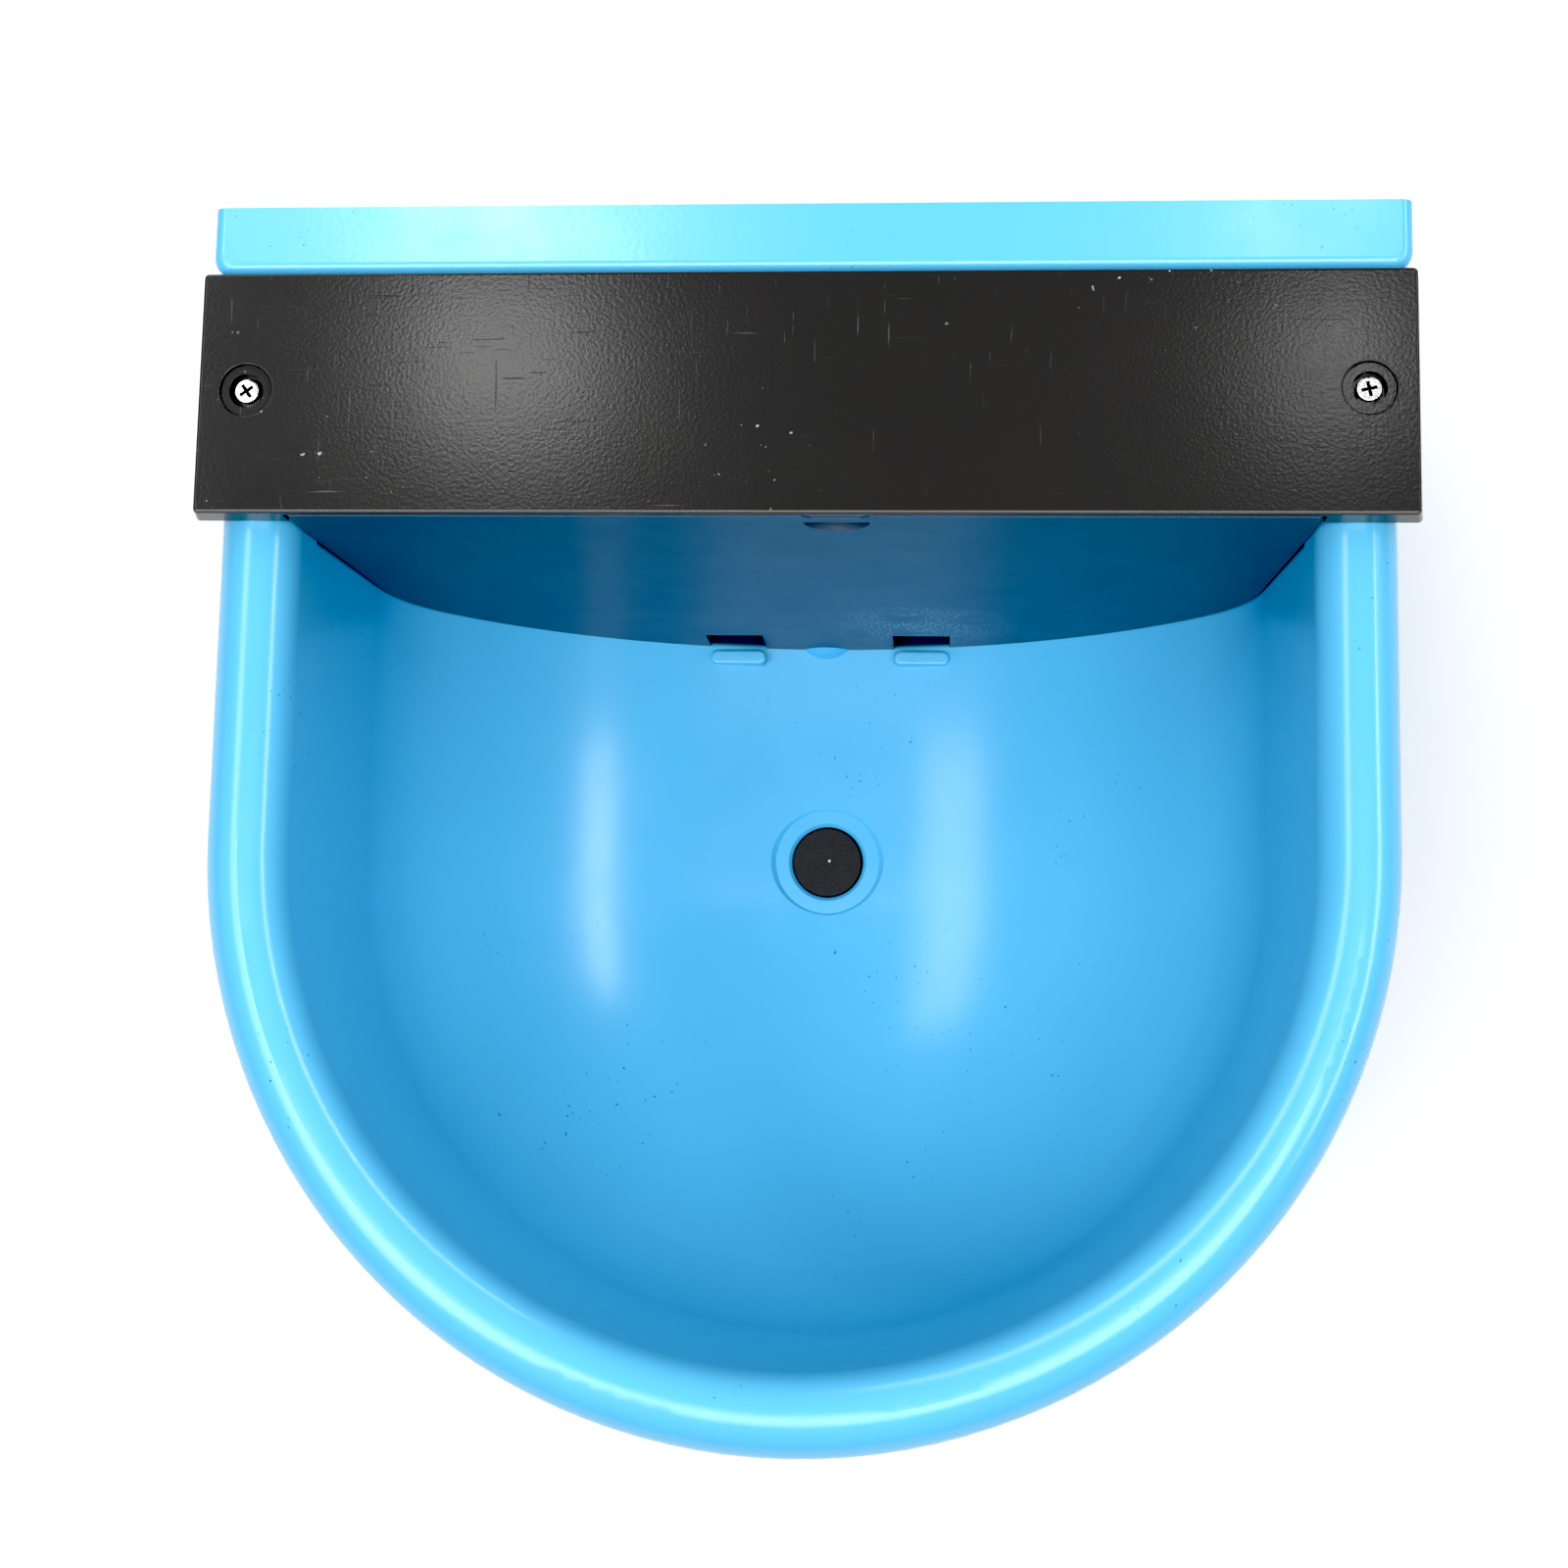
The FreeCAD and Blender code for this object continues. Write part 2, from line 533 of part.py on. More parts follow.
def float_lever():
    hub = rod_y(VALVE_Y - 6.7, VALVE_Y + 6.7, 4.0, PIVOT_X, PIVOT_Z)
    nose_x, nose_z = PIVOT_X - 3.0, PIVOT_Z + 7.0
    nose = rod_y(VALVE_Y - 3.5, VALVE_Y + 3.5, 2.5, nose_x, nose_z)
    neck = slab([(PIVOT_X - 3.4, PIVOT_Z), (PIVOT_X + 3.4, PIVOT_Z), (nose_x + 2.4, nose_z), (nose_x - 1.2, nose_z)],
                VALVE_Y - 3.5, VALVE_Y + 3.5)
    heel = rod_y(VALVE_Y - 3.5, VALVE_Y + 3.5, 2.5, PIVOT_X, PIVOT_Z - 7.5)
    shin = box(PIVOT_X - 2.5, PIVOT_X + 2.5, VALVE_Y - 3.5, VALVE_Y + 3.5, PIVOT_Z - 7.5, PIVOT_Z)
    arm = rod_x(PIVOT_X, -56.0, 5.0, z=PIVOT_Z)
    cuts = [rod_y(VALVE_Y - 20, VALVE_Y + 20, PIN_R + 0.05, PIVOT_X, PIVOT_Z),
            rod_x(-66.0, -55.0, ROD_R + 0.02, z=PIVOT_Z)]
    return fused([hub, nose, neck, heel, shin, arm]).cut(cuts)


def float_rod():
    return rod_x(-66.0, FLOAT_X0 + 12.0, ROD_R, z=PIVOT_Z)


def rod_lock_nuts():
    nuts = []
    for x0 in (-56.0, FLOAT_X0 - 4.0):
        nut = hexagon_x(x0, x0 + 4.0, 9.0, z=PIVOT_Z)
        nuts.append(nut.cut(rod_x(x0 - 1, x0 + 5, ROD_R + 0.02, z=PIVOT_Z)))
    return Part.makeCompound(nuts)


def float_parts():
    """The float's tub and its welded lid."""
    y0, y1 = VALVE_Y - FLOAT_HALF_Y, VALVE_Y + FLOAT_HALF_Y
    whole = box(FLOAT_X0, FLOAT_X1, y0, y1, FLOAT_Z0, FLOAT_Z1)
    whole = whole.makeFillet(5.0, edges_where(whole, lambda e: e.BoundBox.ZLength > 1))
    whole = whole.makeFillet(3.0, edges_where(whole, lambda e: e.BoundBox.ZLength < 1e-6))
    w = FLOAT_WALL
    inside = box(FLOAT_X0 + w, FLOAT_X1 - w, y0 + w, y1 - w, FLOAT_Z0 + w, FLOAT_Z1 - w)
    inside = inside.makeFillet(3.0, edges_where(inside, lambda e: e.BoundBox.ZLength > 1))
    shell = whole.cut(inside)
    big = 200.0
    tub = shell.common(box(-big, big, y0 - 5, y1 + 5, 0, FLOAT_SEAM_Z))
    lid = shell.common(box(-big, big, y0 - 5, y1 + 5, FLOAT_SEAM_Z, big))
    socket = rod_x(FLOAT_X0 + 1, FLOAT_X0 + 14.0, ROD_R + 0.4, z=PIVOT_Z)
    tub = fused([tub, socket]).cut(rod_x(FLOAT_X0 - 1, FLOAT_X0 + 12.0, ROD_R + 0.02, z=PIVOT_Z))
    return tub, lid


def lowered(shape):
    """Turned about the pivot, from float up to float down."""
    copy = shape.copy()
    copy.rotate(V(PIVOT_X, VALVE_Y, PIVOT_Z), V(0, 1, 0), SWING)
    return copy


def main():
    plunger, seal, o_ring = plunger_parts()
    tub, lid = float_parts()
    washer_x = BOSS_OUT_X - WASHER_T
    basin_front, basin_rear = basin()
    pieces = {
        "basin_front": basin_front,
        "basin_rear": basin_rear,
        "bowl_rim": bowl_rim(),
        "wall_plate": wall_plate(),
        "foot_ring": foot_ring(),
        "baffle_plate": baffle_plate(),
        "valve_cover": valve_cover(),
        "cover_screws": cover_screws(),
        "drain_plug": drain_plug(),
        "valve_body": valve_body(),
        "valve_seat": valve_seat(),
        "inner_gasket": ring_x(BOSS_IN_X, BOSS_IN_X + GASKET_T, SHANK_R + 0.3, FLANGE_R),
        "outer_washer": ring_x(washer_x, BOSS_OUT_X, SHANK_R + 0.3, FLANGE_R),
        "inlet_locknut": inlet_locknut(),
        "inlet_strainer": inlet_strainer(),
        "plunger": plunger,
        "plunger_seal": seal,
        "plunger_o_ring": o_ring,
        "pivot_pin": pivot_pin(),
        "pivot_clip": pivot_clip(),
        "float_lever": lowered(float_lever()),
        "float_rod": lowered(float_rod()),
        "rod_lock_nuts": lowered(rod_lock_nuts()),
        "float_tub": lowered(tub),
        "float_lid": lowered(lid),
    }
    os.makedirs("parts", exist_ok=True)
    for name, shape in pieces.items():
        shape.exportStep(os.path.join("parts", name + ".step"))
        print(name, len(shape.Solids), shape.isValid(), round(shape.Volume / 1000, 2), "cm3")


main()
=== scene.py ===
import json
import math

import bmesh
import bpy
from mathutils import Matrix, Vector


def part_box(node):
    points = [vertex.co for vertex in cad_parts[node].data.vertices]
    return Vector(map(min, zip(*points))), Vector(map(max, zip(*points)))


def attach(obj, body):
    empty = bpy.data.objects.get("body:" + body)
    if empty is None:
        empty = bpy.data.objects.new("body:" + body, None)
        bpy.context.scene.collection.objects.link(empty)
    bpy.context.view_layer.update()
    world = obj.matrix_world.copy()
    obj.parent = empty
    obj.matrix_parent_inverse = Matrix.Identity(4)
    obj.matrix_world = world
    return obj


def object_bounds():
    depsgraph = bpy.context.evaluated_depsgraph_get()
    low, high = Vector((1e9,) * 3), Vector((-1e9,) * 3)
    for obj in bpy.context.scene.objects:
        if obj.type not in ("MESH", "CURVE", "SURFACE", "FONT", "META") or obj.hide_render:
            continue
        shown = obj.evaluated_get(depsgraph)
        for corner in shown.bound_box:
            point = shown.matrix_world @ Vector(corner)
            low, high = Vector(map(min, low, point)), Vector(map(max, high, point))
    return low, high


# The looks of the water bowl. Lengths are in metres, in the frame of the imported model.

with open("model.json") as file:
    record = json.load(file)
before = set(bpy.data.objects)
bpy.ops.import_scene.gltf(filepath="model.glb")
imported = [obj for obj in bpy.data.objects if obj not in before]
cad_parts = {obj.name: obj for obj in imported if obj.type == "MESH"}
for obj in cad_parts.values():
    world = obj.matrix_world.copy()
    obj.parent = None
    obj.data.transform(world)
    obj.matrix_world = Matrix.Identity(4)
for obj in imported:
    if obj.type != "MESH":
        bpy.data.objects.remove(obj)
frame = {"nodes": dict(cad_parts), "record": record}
CAD_LOW, CAD_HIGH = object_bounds()

# Boxes of the nodes that the looks and the detail pieces are set out from

BAFFLE_LOW, BAFFLE_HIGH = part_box("baffle_plate")
COVER_LOW, COVER_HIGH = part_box("valve_cover")
PLUG_LOW, PLUG_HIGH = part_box("drain_plug")
SCREWS_LOW, SCREWS_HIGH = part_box("cover_screws")
VALVE_LOW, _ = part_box("valve_body")
NUT_LOW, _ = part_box("inlet_locknut")


# Materials

class Look:
    """A new material with its Principled shader, and short ways to add nodes to it."""

    def __init__(self, name, roughness, metallic=0.0):
        self.material = bpy.data.materials.new(name)
        self.material.use_nodes = True
        self.tree = self.material.node_tree
        self.shader = self.tree.nodes["Principled BSDF"]
        self.shader.inputs["Roughness"].default_value = roughness
        self.shader.inputs["Metallic"].default_value = metallic
        self.place = self.add("ShaderNodeTexCoord").outputs["Object"]

    def add(self, kind, **inputs):
        node = self.tree.nodes.new(kind)
        for key, value in inputs.items():
            node.inputs[key].default_value = value
        return node

    def link(self, source, target):
        self.tree.links.new(source, target)

    def stretched(self, x, y, z, turn=0.0):
        """Object coordinates, scaled along each axis and turned about Z."""
        mapping = self.add("ShaderNodeMapping", Scale=(x, y, z), Rotation=(0, 0, turn))
        self.link(self.place, mapping.inputs["Vector"])
        return mapping.outputs["Vector"]

    def noise(self, scale, detail=2.0, roughness=0.5, vector=None):
        node = self.add("ShaderNodeTexNoise", Scale=scale, Detail=detail, Roughness=roughness)
        self.link(vector or self.place, node.inputs["Vector"])
        return node.outputs["Fac"]

    def band(self, value, low, high, start=0.0, end=1.0):
        """The value mapped so that low gives start and high gives end, and level outside them."""
        node = self.add("ShaderNodeMapRange")
        limits = {"From Min": low, "From Max": high, "To Min": start, "To Max": end}
        for key, limit in limits.items():
            node.inputs[key].default_value = limit
        self.link(value, node.inputs["Value"])
        return node.outputs["Result"]

    def math(self, operation, a, b):
        node = self.add("ShaderNodeMath")
        node.operation = operation
        for socket, value in zip(node.inputs, (a, b)):
            if isinstance(value, (int, float)):
                socket.default_value = value
            else:
                self.link(value, socket)
        return node.outputs["Value"]

    def near(self, point, radius):
        """1 at a point, falling to 0 at the radius."""
        node = self.add("ShaderNodeVectorMath")
        node.operation = "DISTANCE"
        self.link(self.place, node.inputs[0])
        node.inputs[1].default_value = point
        return self.band(node.outputs["Value"], 0.0, radius, 1.0, 0.0)

    def beyond(self, axis, start, end):
        """A slope along one axis, from 0 at start to 1 at end, and level outside them."""
        node = self.add("ShaderNodeSeparateXYZ")
        self.link(self.place, node.inputs["Vector"])
        return self.band(node.outputs[axis], start, end)

    def facing(self, point):
        """1 where the surface faces a point, 0 where it faces away from it."""
        towards = self.add("ShaderNodeVectorMath")
        towards.operation = "SUBTRACT"
        towards.inputs[0].default_value = point
        self.link(self.place, towards.inputs[1])
        along = self.add("ShaderNodeVectorMath")
        along.operation = "DOT_PRODUCT"
        self.link(towards.outputs["Vector"], along.inputs[0])
        self.link(self.add("ShaderNodeNewGeometry").outputs["Normal"], along.inputs[1])
        return self.band(along.outputs["Value"], 0.0, 0.0005)

    def mix(self, amount, under, over):
        """The colour under, with the colour over laid on it by amount."""
        node = self.add("ShaderNodeMix")
        node.data_type = "RGBA"
        self.link(amount, node.inputs["Factor"])
        colour_sockets = [s for s in node.inputs if s.type == "RGBA"]
        for socket, value in zip(colour_sockets, (under, over)):
            if isinstance(value, tuple):
                socket.default_value = (*value, 1.0)
            else:
                self.link(value, socket)
        return next(s for s in node.outputs if s.type == "RGBA")

    def bump(self, height, strength, distance):
        node = self.add("ShaderNodeBump", Strength=strength, Distance=distance)
        self.link(height, node.inputs["Height"])
        self.link(node.outputs["Normal"], self.shader.inputs["Normal"])

    def colour(self, source):
        self.link(source, self.shader.inputs["Base Color"])

    def rough(self, source):
        self.link(source, self.shader.inputs["Roughness"])

    def gloss_level(self, level):
        self.shader.inputs["Specular IOR Level"].default_value = level


def times(colour, factor):
    return tuple(min(1.0, c * factor) for c in colour)


def plastic_base(look, colour, specks):
    """Moulded plastic's colour: a soft drift, and dark dust specks in loose groups."""
    drift = look.band(look.noise(14.0, 3.0), 0.2, 0.8)
    base = look.mix(drift, times(colour, 0.97), times(colour, 1.03))
    groups = look.band(look.noise(24.0, 2.0), 0.54, 0.64)
    spots = look.math("MULTIPLY", look.band(look.noise(800.0, 1.0), 0.74, 0.765), groups)
    return look.mix(look.math("MULTIPLY", spots, specks), base, times(colour, 0.25))


def plastic_skin(look, roughness):
    """Moulded plastic's surface: a slightly uneven gloss and a very fine grain."""
    look.rough(look.band(look.noise(60.0, 4.0), 0.2, 0.8, roughness - 0.03, roughness + 0.03))
    look.bump(look.noise(650.0, 3.0), 0.1, 0.0002)


def moulded_plastic(name, colour, roughness, specks=0.3):
    look = Look(name, roughness)
    look.colour(plastic_base(look, colour, specks))
    plastic_skin(look, roughness)
    return look


def splashed_plastic(name, colour, roughness, specks, splash, radius):
    """Moulded plastic with a patch of pale dried droplets round one point."""
    look = Look(name, roughness)
    drops = look.band(look.noise(1500.0, 2.0), 0.55, 0.62)
    ragged = look.band(look.noise(90.0, 2.0), 0.4, 0.55)
    patch = look.math("MULTIPLY", look.near(splash, radius), ragged)
    amount = look.math("MULTIPLY", drops, patch)
    look.colour(look.mix(amount, plastic_base(look, colour, specks), DROPLETS))
    plastic_skin(look, roughness)
    return look


def chamber_plastic(name, colour, roughness, specks):
    """Moulded plastic with painted shade inside the float chamber, behind the baffle, where the openings
    show only deep shade.
    """
    look = Look(name, roughness)
    middle = (BAFFLE_LOW + BAFFLE_HIGH) / 2
    front = BAFFLE_LOW.y
    behind = look.beyond("Y", front, front + 0.0012)
    # Painted shade: surfaces behind the baffle's front that face towards it are darkened to 0.12 of the
    # blue.
    painted_shade = look.math("MULTIPLY", look.facing((middle.x, front, middle.z)), behind)
    look.colour(look.mix(painted_shade, plastic_base(look, colour, specks), times(colour, 0.12)))
    plastic_skin(look, roughness)
    return look


def fine_lines(look):
    """Fine scratches that run in two slanting directions."""
    slanted = look.noise(1.0, 2.0, 0.6, look.stretched(50, 1400, 50, 0.5))
    upright = look.noise(1.0, 2.0, 0.6, look.stretched(1400, 60, 50, 0.25))
    return look.math("MAXIMUM", look.band(slanted, 0.70, 0.8), look.band(upright, 0.71, 0.8))


def dust(look):
    """Single pale grains in loose groups."""
    groups = look.band(look.noise(18.0, 2.0), 0.52, 0.66)
    return look.math("MULTIPLY", look.band(look.noise(620.0, 1.0), 0.76, 0.79), groups)


def painted_edge_highlight(look):
    """The mask of a painted highlight: 1 along the rounded upper edge at the cover's front, 0 elsewhere.
    """
    at_front = look.beyond("Y", COVER_LOW.y + 0.0009, COVER_LOW.y + 0.0006)
    at_top = look.beyond("Z", COVER_HIGH.z - 0.0005, COVER_HIGH.z - 0.0003)
    return look.math("MULTIPLY", at_front, at_top)


def satin_black():
    """The cover: satin black with fine scratches, a little dust and a painted highlight along its rounded
    front edge.
    """
    look = Look("cover_black", 0.15)
    look.gloss_level(0.3)
    lines = fine_lines(look)
    scratches = look.math("MULTIPLY", lines, look.band(look.noise(30.0, 3.0), 0.48, 0.66))
    faint = look.math("MULTIPLY", scratches, 0.2)
    marks = look.math("MAXIMUM", faint, look.math("MULTIPLY", dust(look), 0.8))
    mottle = look.band(look.noise(11.0, 4.0), 0.15, 0.85)
    base = look.mix(mottle, (0.0385, 0.0385, 0.0385), (0.0430, 0.0418, 0.0415))
    marked = look.mix(marks, base, (0.5, 0.5, 0.5))
    # Painted highlight: a pale brownish line along the cover's rounded front edge.
    look.colour(look.mix(painted_edge_highlight(look), marked, (0.110, 0.098, 0.090)))
    look.rough(look.band(look.noise(40.0, 5.0), 0.2, 0.8, 0.14, 0.165))
    look.bump(look.math("SUBTRACT", look.noise(1100.0, 2.0), lines), 0.12, 0.0002)
    return look


def rubber(name, colour, roughness, gate=None):
    """Grained rubber, with a pale nick at the point where the mould's gate broke off, if it is given."""
    look = Look(name, roughness)
    look.gloss_level(0.35)
    grain = look.mix(look.band(look.noise(1200.0, 3.0), 0.3, 0.8), colour, times(colour, 1.5))
    if gate:
        nick = look.band(look.near(gate, 0.0007), 0.3, 0.5)
        grain = look.mix(nick, grain, (0.5, 0.5, 0.48))
    look.colour(grain)
    look.rough(look.band(look.noise(300.0, 3.0), 0.2, 0.8, roughness - 0.05, roughness + 0.05))
    look.bump(look.noise(1500.0, 2.0), 0.2, 0.0002)
    return look


def lined_metal(name, dark, light, roughness, stretch):
    """Bright metal with fine lines left by the tool, drawn out along the smallest stretch."""
    look = Look(name, roughness, metallic=1.0)
    lines = look.noise(1.0, 3.0, 0.6, look.stretched(*stretch))
    look.colour(look.mix(look.band(lines, 0.3, 0.7), dark, light))
    look.rough(look.band(lines, 0.3, 0.7, roughness - 0.06, roughness + 0.1))
    look.bump(lines, 0.1, 0.0001)
    return look


BLUE = (0.123, 0.462, 0.740)
# The baffle's blue, darkened far below the bowl's as painted shade: the same plastic, standing in the
# shade under the cover.
BAFFLE_PAINTED_SHADE = (0.072, 0.106, 0.158)
DROPLETS = (0.55, 0.75, 0.85)
LINES_ALONG_X = (60, 2500, 2500)
LINES_ALONG_Z = (2500, 2500, 60)


def make_looks():
    bowl = {"colour": BLUE, "roughness": 0.21, "specks": 0.9}
    splash = (0.028, BAFFLE_LOW.y, BAFFLE_LOW.z + 0.035)
    plug_middle = (PLUG_LOW + PLUG_HIGH) / 2
    gate = (plug_middle.x + 0.0006, plug_middle.y + 0.0003, PLUG_HIGH.z)
    return {
        "blue": moulded_plastic("bowl_blue", **bowl),
        "chamber": chamber_plastic("chamber_blue", **bowl),
        # The baffle takes the darkened blue, which is painted shade.
        "baffle": splashed_plastic("baffle_blue", BAFFLE_PAINTED_SHADE, 0.42, 0.6, splash, 0.03),
        "cover": satin_black(),
        "plug": rubber("plug_black", (0.027, 0.025, 0.024), 0.62, gate),
        "gasket": rubber("gasket_black", (0.018, 0.018, 0.019), 0.55),
        "black": moulded_plastic("valve_black", (0.020, 0.020, 0.022), 0.42),
        "white": moulded_plastic("lever_white", (0.74, 0.74, 0.70), 0.38),
        "natural": moulded_plastic("washer_natural", (0.55, 0.56, 0.54), 0.42),
        "orange": moulded_plastic("float_orange", (0.80, 0.16, 0.02), 0.30),
        "screw": lined_metal("screw_bright", (0.70, 0.71, 0.72), (0.86, 0.86, 0.86), 0.22, LINES_ALONG_Z),
        "rod": lined_metal("rod_bright", (0.62, 0.63, 0.64), (0.78, 0.78, 0.78), 0.24, LINES_ALONG_X),
        "brass": lined_metal("seat_brass", (0.62, 0.43, 0.16), (0.78, 0.57, 0.25), 0.3, LINES_ALONG_Z),
        # Near-black for the painted shade in the screw recesses.
        "recess_shade": rubber("recess_shade_black", (0.010, 0.009, 0.008), 0.8),
    }


NODE_LOOKS = {
    "basin_front": "blue",
    "basin_rear": "chamber",
    "bowl_rim": "blue",
    "wall_plate": "blue",
    "foot_ring": "blue",
    "baffle_plate": "baffle",
    "valve_cover": "cover",
    "cover_screws": "screw",
    "drain_plug": "plug",
    "valve_body": "black",
    "valve_seat": "brass",
    "inner_gasket": "gasket",
    "outer_washer": "natural",
    "inlet_locknut": "black",
    "inlet_strainer": "natural",
    "plunger": "white",
    "plunger_seal": "gasket",
    "plunger_o_ring": "gasket",
    "pivot_pin": "rod",
    "pivot_clip": "rod",
    "float_lever": "white",
    "float_rod": "rod",
    "rod_lock_nuts": "rod",
    "float_tub": "orange",
    "float_lid": "orange",
}


def paint_nodes(looks):
    for node, look in NODE_LOOKS.items():
        materials = frame["nodes"][node].data.materials
        materials.clear()
        materials.append(looks[look].material)


# Detail pieces

def mesh_of(name, build):
    mesh = bpy.data.meshes.new(name)
    work = bmesh.new()
    build(work)
    bmesh.ops.recalc_face_normals(work, faces=work.faces)
    work.to_mesh(mesh)
    work.free()
    return mesh


def new_piece(name, build, look, body, smooth=True):
    piece = bpy.data.objects.new(name, mesh_of(name, build))
    bpy.context.scene.collection.objects.link(piece)
    piece.data.materials.append(look.material)
    for face in piece.data.polygons:
        face.use_smooth = smooth
    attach(piece, body)


THREAD_PITCH = 0.001814
RIDGE_HEIGHT = 0.00035
STEPS_PER_TURN = 40


def helix_ridge(start, end, centre_y, centre_z, radius):
    """A thread's ridge, wound along X from start to end. It fades in and out over half a turn."""
    count = int((end - start) / THREAD_PITCH * STEPS_PER_TURN)
    # The ridge's section: along the axis in pitches, and outwards in ridge heights
    profile = [(-0.42, -0.15), (-0.08, 1.0), (0.08, 1.0), (0.42, -0.15)]

    def build(work):
        rings = []
        for i in range(count + 1):
            turn = 2 * math.pi * i / STEPS_PER_TURN
            fade = min(1.0, 2 * i / STEPS_PER_TURN, 2 * (count - i) / STEPS_PER_TURN)
            ring = []
            for along, out in profile:
                r = radius + out * RIDGE_HEIGHT * fade
                x = start + THREAD_PITCH * (i / STEPS_PER_TURN + along)
                y = centre_y + r * math.cos(turn)
                z = centre_z + r * math.sin(turn)
                ring.append(work.verts.new((x, y, z)))
            rings.append(ring)
        for a, b in zip(rings, rings[1:]):
            for j in range(len(profile) - 1):
                work.faces.new((a[j], a[j + 1], b[j + 1], b[j]))

    return build


def inlet_thread():
    """The ridge from near the inlet's free end to just before its locknut."""
    inlet = next(m for m in frame["record"]["mounts"] if m["name"] == "inlet_thread")
    _, centre_y, centre_z = inlet["pos_m"]
    radius = inlet["dims"]["r_mm"] / 1000
    return helix_ridge(VALVE_LOW.x + 0.0012, NUT_LOW.x - 0.001, centre_y, centre_z, radius)


HEAD_RADIUS = 0.0031
CROSS_REACH = 0.00185
CROSS_HALF_WIDTH = 0.0004
CROSS_TURNS = (35.0, 12.0)  # degrees, left and right
SHADE_BOTTOM = 0.0013  # under the top of the head
SHADE_TOP = 0.0004


def recess_painted_shade():
    """Painted shade in the cover screws' recesses: a dark low cross in each, turned by its angle."""
    low = SCREWS_HIGH.z - SHADE_BOTTOM
    high = SCREWS_HIGH.z - SHADE_TOP
    y = (SCREWS_LOW.y + SCREWS_HIGH.y) / 2
    places = [Vector((x, y, 0)) for x in (SCREWS_LOW.x + HEAD_RADIUS, SCREWS_HIGH.x - HEAD_RADIUS)]
    half, reach = CROSS_HALF_WIDTH, CROSS_REACH
    outline = [
        (half, half), (reach, half), (reach, -half),
        (half, -half), (half, -reach), (-half, -reach),
        (-half, -half), (-reach, -half), (-reach, half),
        (-half, half), (-half, reach), (half, reach),
    ]

    def build(work):
        for place, turn in zip(places, CROSS_TURNS):
            spin = Matrix.Rotation(math.radians(turn), 3, "Z")
            bottom, top = [
                [work.verts.new(place + spin @ Vector((x, y, z))) for x, y in outline]
                for z in (low, high)
            ]
            work.faces.new(bottom)
            work.faces.new(top)
            for i in range(len(outline)):
                work.faces.new((bottom[i - 1], bottom[i], top[i], top[i - 1]))

    return build


def details(looks):
    new_piece("inlet_thread_ridge", inlet_thread(), looks["black"], "bowl")
    # A dark cross in each screw head's recess, as painted shade.
    new_piece("recess_painted_shade", recess_painted_shade(), looks["recess_shade"], "bowl", smooth=False)


# Studio

def area_light(name, place, width, length, power, only=()):
    """A soft light whose length runs from front to back, turned about it towards the bowl.

    It lights everything, or only the nodes that are named.
    """
    data = bpy.data.lights.new(name, "AREA")
    data.shape = "RECTANGLE"
    data.size = width
    data.size_y = length
    data.energy = power
    light = bpy.data.objects.new(name, data)
    light.location = place
    light.rotation_euler = (0, math.atan2(place[0], place[2]), 0)
    bpy.context.scene.collection.objects.link(light)
    if only:
        lit = bpy.data.collections.new(name + "_lit")
        for node in only:
            lit.objects.link(frame["nodes"][node])
        light.light_linking.receiver_collection = lit


def lights():
    """One above the front, a long strip on each side, and small ones for the glare patches."""
    area_light("overhead", (0.0, -0.35, 1.5), width=1.4, length=0.7, power=23)
    area_light("strip_left", (-0.8, 1.4, 1.38), width=0.36, length=4.4, power=26)
    area_light("strip_right", (1.45, 1.5, 1.34), width=0.22, length=4.4, power=32)
    cover = ("valve_cover", "cover_screws")
    plate = ("wall_plate",)
    area_light("cover_glare_left", (-0.37, 0.59, 1.68), 0.15, 0.16, 1.0, cover)
    area_light("cover_glare_right", (0.36, 0.59, 1.68), 0.06, 0.12, 0.42, cover)
    area_light("plate_glare_left", (-0.38, 0.72, 1.68), 0.20, 0.16, 2.6, plate)
    area_light("plate_glare_right", (0.33, 0.72, 1.68), 0.10, 0.14, 0.9, plate)


FLOOR_HALF_SIZE = 40.0
FLOOR_GAP = 0.0005
NEAR_GLOW = 0.08
FAR_GLOW = 0.55
GLOW_REACH = 5.0


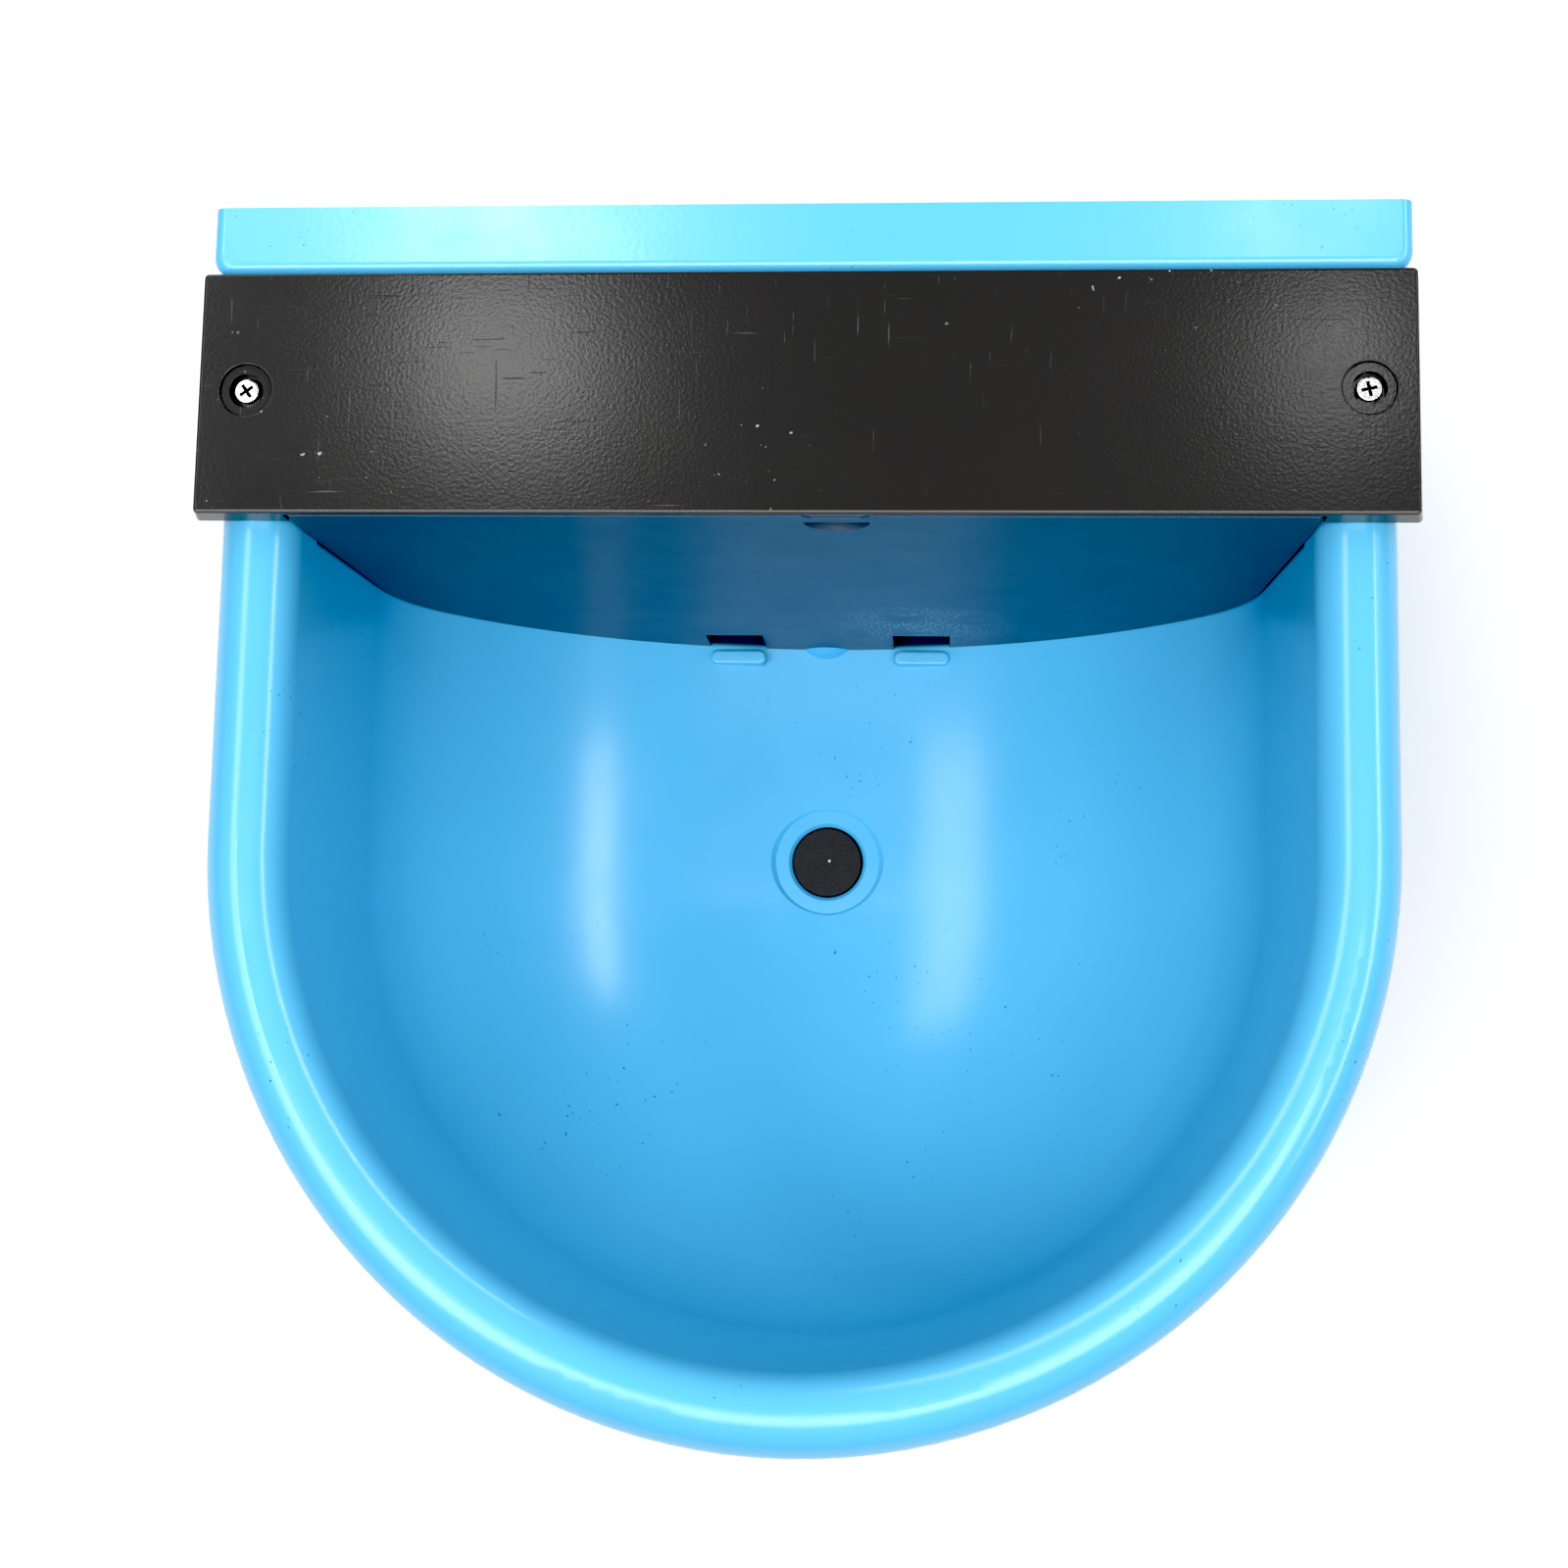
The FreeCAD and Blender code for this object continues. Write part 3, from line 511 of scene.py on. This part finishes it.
def floor():
    """A pale floor just under the bowl. It glows more with distance, so that it stays pale there."""
    look = Look("floor_pale", 0.7)
    look.colour(look.mix(look.noise(3.0), (0.80, 0.80, 0.80), (0.83, 0.83, 0.83)))
    look.shader.inputs["Emission Color"].default_value = (1, 1, 1, 1)
    glow = look.band(look.near((0.0, 0.0, 0.0), GLOW_REACH), 0.0, 1.0, FAR_GLOW, NEAR_GLOW)
    look.link(glow, look.shader.inputs["Emission Strength"])
    half = FLOOR_HALF_SIZE
    outline = [(-half, -half), (half, -half), (half, half), (-half, half)]

    def build(work):
        work.faces.new([work.verts.new((x, y, CAD_LOW.z - FLOOR_GAP)) for x, y in outline])

    plane = bpy.data.objects.new("floor", mesh_of("floor", build))
    plane.data.materials.append(look.material)
    bpy.context.scene.collection.objects.link(plane)


def surroundings(lit, seen):
    """A world that gives a little even light, and is seen behind the floor in a paler tone."""
    world = bpy.data.worlds.new("studio")
    world.use_nodes = True
    nodes, links = world.node_tree.nodes, world.node_tree.links
    light = nodes["Background"]
    backdrop = nodes.new("ShaderNodeBackground")
    for node, strength in ((light, lit), (backdrop, seen)):
        node.inputs["Color"].default_value = (1, 1, 1, 1)
        node.inputs["Strength"].default_value = strength
    choice = nodes.new("ShaderNodeMixShader")
    links.new(nodes.new("ShaderNodeLightPath").outputs["Is Camera Ray"], choice.inputs[0])
    links.new(light.outputs[0], choice.inputs[1])
    links.new(backdrop.outputs[0], choice.inputs[2])
    links.new(choice.outputs[0], nodes["World Output"].inputs["Surface"])
    return world


BLACK_POINT = 0.050


def studio():
    scene = bpy.context.scene
    scene.view_settings.view_transform = "Standard"
    scene.view_settings.use_curve_mapping = True
    scene.view_settings.curve_mapping.black_level = (BLACK_POINT, BLACK_POINT, BLACK_POINT)
    scene.world = surroundings(lit=0.06, seen=0.5)
    lights()
    floor()


def camera():
    """Almost straight above the bowl, a little in front of its middle and to its right."""
    data = bpy.data.cameras.new("camera")
    data.sensor_width = 36.0
    data.lens = 55.97
    eye = bpy.data.objects.new("camera", data)
    eye.location = (0.0397, -0.0707, 0.7453)
    eye.rotation_euler = (0.135, 0.070, 0.019)
    bpy.context.scene.collection.objects.link(eye)
    bpy.context.scene.camera = eye


camera()
looks = make_looks()
paint_nodes(looks)
details(looks)
studio()
